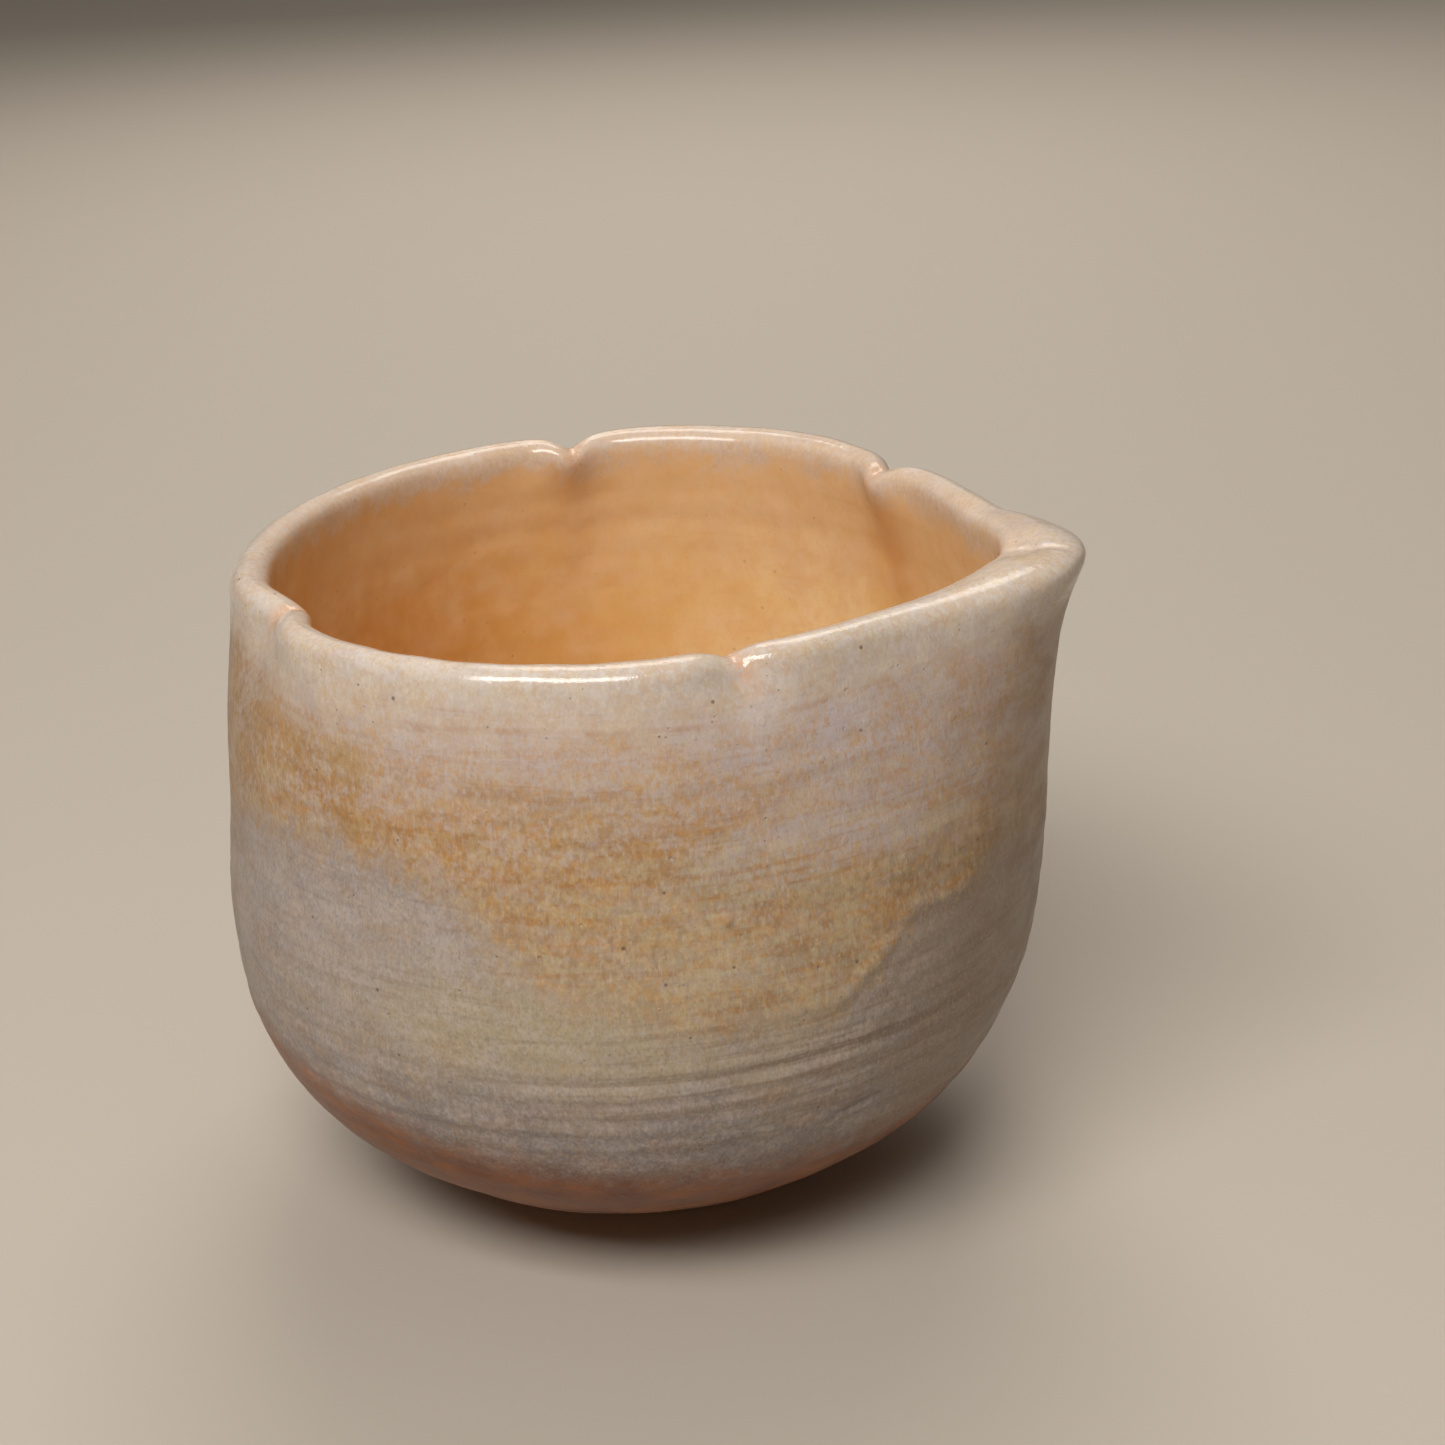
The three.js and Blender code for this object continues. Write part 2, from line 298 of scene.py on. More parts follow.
def folds(angle, across, height):
    """Depth of the hairline folds, across from -1 outside to 1 inside."""
    fade = bell(np.clip(RIM_HEIGHT - height, 0, None), FOLD_REACH)
    total = 0
    for fold in FOLDS:
        offset = wrap(angle - fold["angle"] - fold["slant"] * across)
        along = bell(across - fold["middle"], 0.9)
        total = total + fold["depth"] * bell(offset, fold["width"]) * along
    return total * fade


def mark(angle, height, at, size, stretch=1.0):
    """A soft round spot on the wall, 0 to 1, with its size in millimetres."""
    sideways = np.radians(wrap(angle - at[0])) * BELLY / stretch
    return np.exp(-(sideways**2 + (height - at[1]) ** 2) / size**2)


def throwing_rings(angle, height):
    """Finger rings of the outside wall, strongest low down in front, in mm."""
    body = smoothstep(height, 14, 26) * (1 - smoothstep(height, 90, 97))
    grip = 0.25 + 0.5 * smoothstep(RING_STRENGTH(angle, height), -0.4, 1.4)
    grip = grip + 0.75 * bell(height - 34, 14)
    grip = grip + 0.9 * bell(wrap(angle + 32), 34) * bell(height - 38, 12)
    return RING_DEPTH * grip * body * RINGS["outside"](angle, height + 1.6 * angle / 360)


def dip_edge(angle, height):
    """The second dip's thickness, with its rolled edge and the two ridges under it on the right."""
    above = height - second_dip(angle)
    coat = DIP_STEP * smoothstep(above, -2.5, 2.5)
    roll = 0.42 * bell(above - 0.9, 1.4) + 0.22 * bell(above + 3.6, 1.5) + 0.2 * bell(above + 8, 1.8)
    return coat + roll * window(angle, -45, -20, 4)


def blemishes(angle, height):
    """The bump, crack, hook and pits of the outside, in mm."""
    marks = 0.75 * mark(angle, height, BUMP, 0.7)
    for crack in CRACK:
        marks = marks - 0.28 * mark(angle, height, crack, 0.55, 1.8)
    marks = marks - 0.4 * mark(angle, height, HOOK, 1.0, 2.2)
    for pit in PITS:
        marks = marks - 0.2 * mark(angle, height, pit, 0.45)
    return marks


def inside_rings(angle, height):
    """Finger rings of the inside wall, in mm."""
    body = smoothstep(height, 12.5, 15) * (1 - smoothstep(height, 88, 96))
    return INNER_RING_DEPTH * body * RINGS["inside"](angle, height + 1.6 * angle / 360)


def relief(angle, across, height):
    """How far the glazed surface stands above its plain shape, outside and inside, in mm."""
    outside = throwing_rings(angle, height) + dip_edge(angle, height) + blemishes(angle, height)
    skin = np.where(across < 0, outside, inside_rings(angle, height))
    return skin + DIMPLE_DEPTH * DIMPLES(angle, height) - folds(angle, across, height)


# ---- the rows and columns that every mesh shares ----
def spread(low, high, spacing, fine_spacing, features, reach):
    """Values from low to high, closer together near the features."""
    fine = np.linspace(low, high, 7200)
    near = sum(bell(wrap(fine - f), reach) for f in features)
    density = 1 / lerp(spacing, fine_spacing, np.clip(near, 0, 1))
    run = np.concatenate([[0], np.cumsum((density[1:] + density[:-1]) / 2)])
    count = int(run[-1] * (fine[1] - fine[0]))
    return np.interp(np.linspace(0, run[-1], count + 1), run, fine)[:-1]


COLUMN_STEP = 1.14  # degrees
FINE_STEP = 0.4
ANGLES = spread(-180, 180, COLUMN_STEP, FINE_STEP, [0] + [p["angle"] for p in PINCHES], 9)[None, :]
COLUMNS = ANGLES.size
LIP_ROWS = 26
SEAM = 19  # row of the lip where the coats meet
OUTER_ROWS = 158
INNER_ROWS = 128
LIP_SOFTENING = 8  # passes that round off the corners where wall and lip meet
WALL_LENGTH = 116  # of the glazed outside, along its profile
BEAD = 0.95  # how far up the glaze reaches its full thickness
BEAD_ROWS = [0, 0.12, 0.27, 0.46, 0.7, 1.0, 1.4]  # rows in the rounded lower edge
WELL_CALM = (18, 40)  # the relief fades out towards the axis between these radii
BACK_STEP = 7  # the hidden side of a coat keeps one row in so many


def line_share(heights):
    """Share of the outside wall's length at the given heights near its bottom."""
    return np.interp(heights, OUTER[:, 1], np.linspace(0, 1, len(OUTER)))


def coat_start(angle):
    """Share of the outside wall where the bare clay ends."""
    return line_share(around(GLAZE_LINE, angle, 6) + 0.35 * EDGE_DRIFT(angle, 7))


def section(up, lip_rows, inner_rows):
    """Rings up the outside, over the lip and down inside to the axis: radius, height, unstretched
    height and place across the lip, from -1 outside to 1 inside."""
    outer = wall(ANGLES, up, "outside")
    inner = wall(ANGLES, np.linspace(1, 0, inner_rows)[:, None], "inside")
    turn = np.linspace(0, np.pi, lip_rows + 1)[1:-1, None]
    middle = (outer[0][-1] + inner[0][0]) / 2
    half = (outer[0][-1] - inner[0][0]) / 2
    lip_r = middle + half * np.cos(turn)
    lip_z = lerp(outer[1][-1], inner[1][0], turn / np.pi) + LIP_ROUND * np.sin(turn) ** 0.92
    r = np.concatenate([outer[0], lip_r, inner[0]])
    z = np.concatenate([outer[1], lip_z, inner[1]])
    lip_plain = lerp(LIP_HEIGHT, RIM_HEIGHT, np.sin(turn)) + 0 * lip_r
    plain = np.concatenate([outer[2], lip_plain, inner[2]])
    across = [np.full_like(outer[0], -1), 0 * lip_r - np.cos(turn), np.full_like(inner[0], 1)]
    for _ in range(LIP_SOFTENING):
        for line in (r, z):
            line[1:-1] = (line[:-2] + 2 * line[1:-1] + line[2:]) / 4
    return r, z, plain, np.concatenate(across)


def place(r, z):
    """Points in the row frame, in mm, for radii and heights at every angle."""
    a = np.radians(ANGLES)
    return np.stack([AXIS_X + r * np.cos(a), r * np.sin(a), z + 0 * a], axis=-1)


def outward(points):
    """Unit normals of a grid of points that closes around the bowl."""
    rows = np.gradient(points, axis=0)
    columns = np.roll(points, -1, axis=1) - np.roll(points, 1, axis=1)
    normal = np.cross(columns, rows)
    return normal / (np.linalg.norm(normal, axis=-1, keepdims=True) + 1e-12)


def mesh_of(name, points, groups):
    """A mesh of points in mm and groups of (faces, smooth), as one object."""
    mesh = bpy.data.meshes.new(name)
    corners = np.concatenate([np.asarray(faces).ravel() for faces, _ in groups])
    sizes = np.concatenate([np.full(len(faces), faces.shape[1]) for faces, _ in groups])
    smooth = np.concatenate([np.full(len(faces), shade) for faces, shade in groups])
    mesh.vertices.add(len(points))
    mesh.vertices.foreach_set("co", (points * MM).astype(np.float32).ravel())
    mesh.loops.add(len(corners))
    mesh.loops.foreach_set("vertex_index", corners.astype(np.int32))
    mesh.polygons.add(len(sizes))
    mesh.polygons.foreach_set("loop_start", (np.cumsum(sizes) - sizes).astype(np.int32))
    mesh.polygons.foreach_set("use_smooth", smooth)
    mesh.update(calc_edges=True)
    mesh.validate()
    piece = bpy.data.objects.new(name, mesh)
    bpy.context.scene.collection.objects.link(piece)
    return piece


def bands(low, high):
    """Faces between two rings of point numbers."""
    return np.stack([low, np.roll(low, -1), np.roll(high, -1), high], axis=-1)


def ladder(rings):
    """Faces between all neighbouring rings."""
    return np.concatenate([bands(low, high) for low, high in zip(rings[:-1], rings[1:])])


def fan(ring, centre, flip=False):
    """Triangles from a ring of point numbers to one centre point."""
    beside = np.roll(ring, -1)
    pair = (beside, ring) if flip else (ring, beside)
    return np.stack([*pair, np.full_like(ring, centre)], axis=-1)


def numbered(rows, columns):
    """The point numbers of a grid."""
    return np.arange(rows * columns).reshape(rows, columns)


def paint(piece, **layers):
    """Stores each named grid of numbers on the piece's first points."""
    for name, values in layers.items():
        layer = piece.data.attributes.new(name, "FLOAT", "POINT")
        padded = np.zeros(len(piece.data.vertices), np.float32)
        padded[:values.size] = values.ravel()
        layer.data.foreach_set("value", padded)


def well_spiral(radius, angle):
    """The turn that the potter's finger left in the well's floor, in mm."""
    return 0.1 * np.sin(2 * np.pi * (radius / 6.5 - angle / 360)) * bell(radius - 12, 7)


def glazed_grid():
    """The glazed surface and the clay under it, ring by ring, with the numbers behind them."""
    start = coat_start(ANGLES)
    edge_rows = np.array(BEAD_ROWS) / WALL_LENGTH
    up = np.concatenate([edge_rows, np.linspace(2 / WALL_LENGTH, 1, OUTER_ROWS)])[:, None]
    r, z, plain, across = section(start + (1 - start) * up, LIP_ROWS, INNER_ROWS)
    glazed = place(r, z)
    normal = outward(glazed)
    normal[-1] = (0, 0, 1)
    raised = relief(ANGLES, across, plain) * smoothstep(r, *WELL_CALM) + well_spiral(r, ANGLES)
    raised[-1] = raised[-1].mean()
    edge = np.clip(up * WALL_LENGTH / BEAD, 0, 1)
    thickness = GLAZE * np.sqrt(1 - (1 - edge) ** 2) + 0.3 * bell(up * WALL_LENGTH - 1.1, 0.9)
    thickness = thickness - 0.06 * (1 - edge)
    thickness = np.concatenate([thickness, np.full((len(r) - len(up), 1), GLAZE)])
    clay = glazed - normal * (GLAZE - 0.5 * np.minimum(raised, 0))[..., None]
    grown = np.clip(thickness / GLAZE, 0, 1)
    surface = glazed + normal * (thickness - GLAZE + raised * grown)[..., None]
    return surface, clay, plain, across, len(up) - 1 + SEAM


SURFACE, UNDER, PLAIN, ACROSS, SEAM_ROW = glazed_grid()


def shell(name, seen, back, capped):
    """A closed coat: rings that show, the rings behind them, and the strips that join the two. The
    strips have points of their own, so that they bend no normals. Capped coats close on the axis."""
    rows = len(seen)
    closing = [seen[:1]] if capped else [seen[:1], seen[-1:]]
    rings = np.concatenate([seen, back, *closing])
    number = numbered(len(rings), COLUMNS)
    first, last = number[rows], number[rows + len(back) - 1]
    groups = [
        (ladder(number[:rows]), True),
        (ladder(number[rows:rows + len(back)]), True),
        (bands(last, number[rows + len(back)]), False),
    ]
    if capped:
        poles = np.array([SURFACE[-1, 0], UNDER[-1, 0]])
        groups += [
            (fan(number[rows - 1], rings[..., 0].size), True),
            (fan(first, rings[..., 0].size + 1, flip=True), True),
        ]
    else:
        poles = np.empty((0, 3))
        groups.append((bands(number[-1], first), False))
    return mesh_of(name, np.concatenate([rings.reshape(-1, 3), poles]), groups)


def outer_coat():
    """The outside glaze, up to the seam on the lip."""
    return shell("outer_coat", SURFACE[:SEAM_ROW + 1], UNDER[SEAM_ROW::-BACK_STEP], capped=False)


def inner_coat():
    """The inside glaze, from the seam down to the axis."""
    behind = np.concatenate([UNDER[-9:SEAM_ROW:-BACK_STEP], UNDER[SEAM_ROW:SEAM_ROW + 1]])
    return shell("inner_coat", SURFACE[SEAM_ROW:-1], behind, capped=True)


def trimming(radius, angle):
    """Tool marks of the trimmed underside, in mm."""
    spiral = np.sin(2 * np.pi * (radius / 1.7 - angle / 360))
    dimples = 0.05 * DIMPLES(angle, radius) * smoothstep(radius, 4, 20)
    return 0.07 * spiral + dimples + 0.04 * RINGS["outside"](angle, radius * 2)


def underside():
    """Radii and heights of the disc under the floor, hollowed inside the foot ring."""
    flat = np.linspace(0.02, 1, 62)[:, None] * (UNDERSIDE_RADIUS - 1.2)
    hollow = 0.9 * (1 - smoothstep(flat, 6, FOOT_RADIUS - FOOT_WALL - 1.5))
    return flat, FOOT_HEIGHT + hollow + trimming(flat, ANGLES)


def clay_wall():
    """The stoneware under the glaze, bare and trimmed below it."""
    line = coat_start(ANGLES)
    low = line * np.linspace(0, 1, 50)[:, None]
    high = line + (1 - line) * np.linspace(0, 1, 72)[1:, None]
    up = np.concatenate([low, high])
    r, z, plain, across = section(up, 14, 52)
    shape = place(r, z)
    normal = outward(shape)
    normal[-1] = (0, 0, 1)
    raised = relief(ANGLES, across, plain) * smoothstep(r, *WELL_CALM)
    bare = np.clip(1 - (up - line) / 0.01, 0, 1)
    bare = np.concatenate([bare, np.zeros((len(r) - len(up), COLUMNS))])
    depth = GLAZE - 0.5 * np.minimum(raised, 0) * (1 - bare)
    scraped = trimming(r, ANGLES) * bare
    shape = shape + normal * (scraped - depth)[..., None]
    flat, under_z = underside()
    middle = np.array([[AXIS_X, 0, under_z[0].mean()]])
    grid = np.concatenate([place(flat + 0 * ANGLES, under_z), shape[:-1]])
    points = np.concatenate([grid.reshape(-1, 3), middle, shape[-1, :1]])
    rings = numbered(len(grid), COLUMNS)
    groups = [
        (ladder(rings), True),
        (fan(rings[0], rings.size, flip=True), True),
        (fan(rings[-1], rings.size + 1), True),
    ]
    return mesh_of("stoneware_wall", points, groups)


def turned_foot():
    """The foot ring: a tapered ring with worn edges and a small fillet under the bowl."""
    low, high = FOOT_RADIUS - FOOT_WALL, FOOT_RADIUS
    inside = [
        (low - FOOT_FLARE - 0.9, FOOT_HEIGHT + 0.9), (low - FOOT_FLARE * 0.55, FOOT_HEIGHT - 0.7),
        (low - 0.1, 2.4), (low + 0.1, FOOT_WEAR),
    ]
    worn = [(low + 0.45, 0.3), (low + FOOT_WEAR, 0.0), (high - FOOT_WEAR, 0.0), (high - 0.4, 0.28)]
    outside = [
        (high, FOOT_WEAR), (high + 0.35, 2.6), (high + FOOT_FLARE, FOOT_HEIGHT - 0.7),
        (high + FOOT_FLARE + 1.1, FOOT_HEIGHT + 0.9),
    ]
    line = smooth_curve(inside + worn + outside, 110)
    angles = np.linspace(-180, 180, 320, endpoint=False)[None, :]
    r, z = line[:, :1], line[:, 1:]
    resting = smoothstep(z, 0.25, 1.2)
    grooves = 0.09 * np.sin(2 * np.pi * (z / 1.25 + angles / 360)) * smoothstep(z, 0.8, 2)
    side = np.where(r > FOOT_RADIUS - FOOT_WALL / 2, 1, -1)
    nicks = 0.10 * DIMPLES(angles, z * 3 + r) * resting
    drift = 0.18 * SWAY["outside"](angles, z) * resting
    radius = r + side * (grooves + nicks) + drift
    lift = 0.03 * np.clip(DIMPLES(angles, r * 2), 0, 3) * (1 - resting)
    a = np.radians(angles)
    height = np.maximum(z + lift, 0)
    points = np.stack([AXIS_X + radius * np.cos(a), radius * np.sin(a), height], axis=-1)
    rings = numbered(len(points), angles.size)
    groups = [(ladder(rings), True), (bands(rings[-1], rings[0]), False)]
    return mesh_of("turned_foot", points.reshape(-1, 3), groups)


# ---- what lies where on the glaze, for the materials ----
def place_layers(plain, across):
    """Heights, and how far the points lie from the edges of the glazes, in mm."""
    return dict(
        height=plain,
        across=across,
        above_dip=plain - second_dip(ANGLES),
        below_ochre=around(OCHRE_TOP, ANGLES, 6) - plain,
        # height above the band near the foot, which is partly the fire's flash and partly painted shade
        above_flash_and_shade=plain - around(FLASH_AND_SHADE_EDGE, ANGLES, 8),
    )


def side_layers(plain):
    """Soft shares of whole sides of the bowl, from 0 to 1."""
    sides = dict(
        buff=bell(wrap(ANGLES + 58), 26),
        crisp=window(ANGLES, -43, -20, 4),
        # painted shade: olive and darker on the right shoulder
        shoulder_shade=bell(wrap(ANGLES + 20), 18),
        # painted shade with a painted warm reflection, on the spout's side and on the left side
        flank_shade=bell(wrap(ANGLES - 4), 24) + 0.8 * bell(wrap(ANGLES + 167), 24),
        # painted shade: deeper orange on the inside's left
        amber_shade=bell(wrap(ANGLES - 170), 60),
    )
    return {name: share + 0 * plain for name, share in sides.items()}


def patch_layers(plain, across):
    """Soft shares of the patches that the fire coloured, and of the painted shade below the notches
    inside, from 0 to 1.
    """
    threads = sum(window(ANGLES, a, b) * bell(plain - h, 1.6) for h, a, b in THREADS)
    embers = sum(
        bell(wrap(ANGLES - at), wide) * bell(plain - high, tall) for at, high, wide, tall in EMBERS
    )
    lobe = bell(wrap(ANGLES + 34), 24) + 0.7 * bell(wrap(ANGLES - 80), 26)
    lavender = lobe * smoothstep(plain, 64, 76) * (1 - smoothstep(plain, 92, 97))
    lavender = lavender + 0.55 * window(ANGLES, -130, -50, 12) * bell(plain - 88.5, 4.5)
    golden = window(ANGLES, -168, -108, 7) * smoothstep(plain, 64, 72) * (1 - smoothstep(plain, 84, 91))
    folded = sum(bell(wrap(ANGLES - f["angle"] - f["slant"] * across), 1.9) for f in FOLDS[:4])
    # painted shade: darker orange on the inside below two of the notches
    shade_under_notches = bell(wrap(ANGLES - 50), 5.5) + 0.3 * bell(wrap(ANGLES - 116), 5.5)
    return dict(
        grooves=bell(wrap(ANGLES + 36), 36) * bell(plain - 41, 11),
        embers=embers,
        creamy=bell(wrap(ANGLES + 86), 27) * bell(plain - 50, 9),
        golden=golden,
        rosy=bell(wrap(ANGLES + 98), 10) * bell(plain - 78, 5),
        sunny=window(ANGLES, -150, -62, 8) * bell(plain - 77, 7.5),
        lavender=np.clip(lavender, 0, 1),
        threads=threads,
        beak=bell(wrap(ANGLES), 20) * smoothstep(across, 0, 1),
        folded=folded * bell(np.clip(RIM_HEIGHT - plain, 0, None), 3.4),
        shade_under_notches=shade_under_notches * bell(plain - 84, 13),
    )


LAYERS = place_layers(PLAIN, ACROSS) | side_layers(PLAIN) | patch_layers(PLAIN, ACROSS)


# ---- materials ----
COLOURS = {
    # the rim
    "cream": "CFC6BE", "warm cream": "CDBBA2", "milk": "DCD0C2", "peach": "D6B294",
    "orange pink": "D09A70",
    # lumps and specks in every glaze
    "orange": "BD8A48", "lilac": "B9ACA8", "straw": "C4B086", "iron": "4A3A2E", "fleck": "6F675E",
    # the first dip
    # stone, darker than pale stone, is painted shade low on the wall
    "stone": "807776", "pale stone": "978D8A", "buff stone": "A5957A", "umber": "8E7258",
    # the first dip's olive is painted shade on the right shoulder
    "cream stone": "A79878", "shade olive stone": "84705A", "groove": "75604B", "pale grain": "B5A99B",
    "dark grain": "76675A",
    # the second dip
    # the second dip's olive ochre is painted shade on the right shoulder
    "ochre": "987A57", "buff": "A18D70", "burnt ochre": "936A42", "shade olive ochre": "8A7350",
    "pink": "A58C77", "pale pink": "B49D89", "tan": "B5946C", "gold": "A08048", "rose": "B39D97",
    "sun": "A57A44", "lavender": "BFB2B2", "ember": "A4733A", "band": "9A6E3C",
    "milky grain": "C6B8AC", "milky fibre": "C9BCB3", "brown grain": "946F4F",
    # what the fire and the potter's fingers left; the flank colour is painted shade, and the band near
    # the foot is partly painted shade
    "thread": "9C6733", "flank_shade": "7C5A38", "fire band and shade": "6E3C1C", "pale fire band and shade": "92582E",
    # the inside
    # the amber is painted shade on the inside's left
    "pale honey": "ECD2A0", "honey": "E2BE80", "honey cream": "ECD2AA", "amber_shade": "C27A16",
    # the crease colour is painted shade below the notches
    "honey pink": "D8B184", "well": "C8924E", "notch shade": "CA8A42", "honey streak": "D2A368",
    "honey lump": "DAA565", "haze": "E6C8A4", "honey grain": "C9955C",
    # bare clay
    "clay": "A5734C", "pale clay": "BD8C62", "foot clay": "A87850", "pale foot clay": "C59A70",
    "toast": "A4683F", "sand": "6E4630", "grog": "D9BE9C", "clay iron": "3E2A20",
    # under the bowl
    "floor": "B3AA9E",
}
GLAZE_IOR = 1.5
SATIN = 0.40  # roughness of the wall
GLOSSY = 0.12  # and of the lip


def shade(code):
    """Linear colour of an sRGB code such as D8BCA5."""
    parts = [int(code[i:i + 2], 16) / 255 for i in (0, 2, 4)]
    return [p / 12.92 if p <= 0.04045 else ((p + 0.055) / 1.055) ** 2.4 for p in parts] + [1]


def tint(name):
    return shade(COLOURS[name])


class Look:
    """A Principled material put together from nodes. Sizes in it are millimetres."""

    def __init__(self, name):
        self.material = bpy.data.materials.new(name)
        self.material.use_nodes = True
        self.nodes = self.material.node_tree.nodes
        self.links = self.material.node_tree.links
        self.shader = self.nodes["Principled BSDF"]
        self.place = self.add("ShaderNodeTexCoord").outputs["Object"]

    def add(self, kind, inputs=(), **settings):
        node = self.nodes.new(kind)
        for key, value in settings.items():
            setattr(node, key, value)
        for key, value in dict(inputs).items():
            self.feed(node.inputs[key], value)
        return node

    def feed(self, socket, value):
        if isinstance(value, bpy.types.NodeSocket):
            self.links.new(value, socket)
        else:
            socket.default_value = value

    def set(self, **inputs):
        for name, value in inputs.items():
            self.feed(self.shader.inputs[name.replace("_", " ")], value)

    def layer(self, name):
        return self.add("ShaderNodeAttribute", attribute_name=name).outputs["Fac"]

    def math(self, operation, *values):
        node = self.add("ShaderNodeMath", enumerate(values), operation=operation)
        return node.outputs[0]

    def plus(self, a, b):
        return self.math("ADD", a, b)

    def times(self, a, b):
        return self.math("MULTIPLY", a, b)

    def step(self, value, low, high, start=0.0, end=1.0):
        """start below low, end above high, smooth between."""
        settings = {0: value, 1: low, 2: high, 3: start, 4: end}
        node = self.add("ShaderNodeMapRange", settings, interpolation_type="SMOOTHSTEP")
        return node.outputs[0]

    def scaled(self, size, shift=0):
        """Object coordinates in units of size, which is one length or one for each axis."""
        each = size if isinstance(size, tuple) else (size,) * 3
        settings = {"Scale": [1 / (s * MM) for s in each], "Location": (shift, shift * 1.7, -shift)}
        return self.add("ShaderNodeMapping", {"Vector": self.place, **settings}).outputs[0]

    def noise(self, size, shift=0, detail=2.0, rough=0.5):
        """Cloudy noise from 0 to 1, about 0.5, with lumps of that size."""
        settings = {"Vector": self.scaled(size, shift), "Scale": 1, "Detail": detail}
        node = self.add("ShaderNodeTexNoise", {**settings, "Roughness": rough})
        return node.outputs["Fac"]

    def spots(self, size, radius, shift=0, share=0.5):
        """Round spots with soft edges, in a share of the cells of that size."""
        settings = {"Vector": self.scaled(size, shift), "Scale": 1}
        cells = self.add("ShaderNodeTexVoronoi", settings)
        random = self.add("ShaderNodeSeparateColor", {0: cells.outputs["Color"]}).outputs[0]
        reach = self.step(random, 1 - share, 1, 0.0, radius / size)
        near = self.math("DIVIDE", cells.outputs["Distance"], self.math("MAXIMUM", reach, 1e-4))
        return self.step(near, 0.55, 1.0, 1.0, 0.0)

    def mix(self, a, b, share):
        node = self.add("ShaderNodeMix", data_type="RGBA")
        self.feed(node.inputs["Factor"], share)
        self.feed(node.inputs[6], a)
        self.feed(node.inputs[7], b)
        return node.outputs[2]

    def blend(self, a, b, share):
        """The same mix for numbers."""
        return self.add("ShaderNodeMix", {0: share, 2: a, 3: b}, data_type="FLOAT").outputs[0]

    def bump(self, height, strength=1.0):
        """Normals of a surface whose height is in mm."""
        settings = {"Height": height, "Strength": strength, "Distance": MM}
        return self.add("ShaderNodeBump", settings).outputs[0]


def mottled(look, colour, seed, orange, lilac, straw):
    """The colour with fine lumps of the glaze's three tints, each in its share and in drifts."""
    kinds = [("orange", 0.95, orange), ("lilac", 0.85, lilac), ("straw", 1.1, straw)]
    for number, (name, size, share) in enumerate(kinds):
        lumps = look.noise((size, size, 1.3 * size), seed + number, 3, 0.55)
        drifts = look.noise((7, 7, 4), seed + number + 3, 3, 0.6)
        level = look.plus(look.times(lumps, 0.55), look.times(drifts, 0.45))
        colour = look.mix(colour, tint(name), look.times(look.step(level, 0.44, 0.62), share))
    return colour


def lip_colours(look, colour, low):
    """The cream rim that both coats share from the height low, peach where the glaze runs thin."""
    across = look.layer("across")
    height = look.layer("height")
    cloud = look.noise(4.5, 31, 3)
    mottle = look.noise((1.5, 1.5, 2), 34, 3)
    fine = look.noise((0.4, 0.4, 0.7), 32, 2, 0.6)
    drift = look.plus(height, look.step(cloud, 0.3, 0.7, -1.8, 1.8))
    drift = look.plus(drift, look.times(look.layer("beak"), 5))
    rim = look.step(look.plus(drift, look.step(mottle, 0.3, 0.7, -0.8, 0.8)), low, 98.0)
    cream = look.mix(tint("cream"), tint("warm cream"), look.step(cloud, 0.42, 0.7, 0, 0.6))
    cream = mottled(look, cream, 61, 0.36, 0.5, 0.3)
    cream = look.mix(cream, tint("milk"), look.step(fine, 0.5, 0.68, 0, 0.45))
    colour = look.mix(colour, cream, look.times(rim, 0.85))
    thin = look.times(look.step(across, -0.6, 0.5), look.step(across, 0.6, 1.3, 1.0, 0.2))
    thin = look.times(thin, look.step(mottle, 0.3, 0.65, 0.15, 0.4))
    colour = look.mix(colour, tint("peach"), look.times(thin, rim))
    folded = look.times(look.layer("folded"), look.step(fine, 0.38, 0.58, 0.1, 0.7))
    return look.mix(colour, tint("orange pink"), folded)


def iron_specks(look, colour, seed, strength):
    """Iron in the clay that has come up through the glaze, and fine grey flecks."""
    brown = look.spots(2.7, 0.36, seed, 0.55)
    grey = look.spots(1.6, 0.22, seed + 5, 0.5)
    colour = look.mix(colour, tint("iron"), look.times(brown, strength))
    return look.mix(colour, tint("fleck"), look.times(grey, strength * 0.8))


def glaze_fields(look):
    """The noises that the outside glaze is made of. blur roughens the edges of its zones, in mm."""
    drip = look.noise((2.6, 2.6, 7), 2, 3)
    field = SimpleNamespace(
        height=look.layer("height"),
        grain=look.noise((0.36, 0.36, 0.6), 1, 2, 0.6),
        fibre=look.noise((0.42, 0.42, 2.4), 9, 2, 0.6),
        mottle=look.noise((1.5, 1.5, 2.2), 10, 4, 0.6),
        patch=look.noise(17, 3, 2),
        cloud=look.noise((7, 7, 4), 4, 3, 0.6),
        streak=look.noise((28, 28, 1.1), 5, 3, 0.6),
    )
    wavy = look.step(drip, 0.25, 0.75, -2.2, 2.2)
    fuzzy = look.step(field.grain, 0.25, 0.75, -1.2, 1.2)
    lumpy = look.step(field.mottle, 0.3, 0.7, -2, 2)
    field.blur = look.plus(look.times(wavy, 0.6), look.plus(fuzzy, lumpy))
    return field


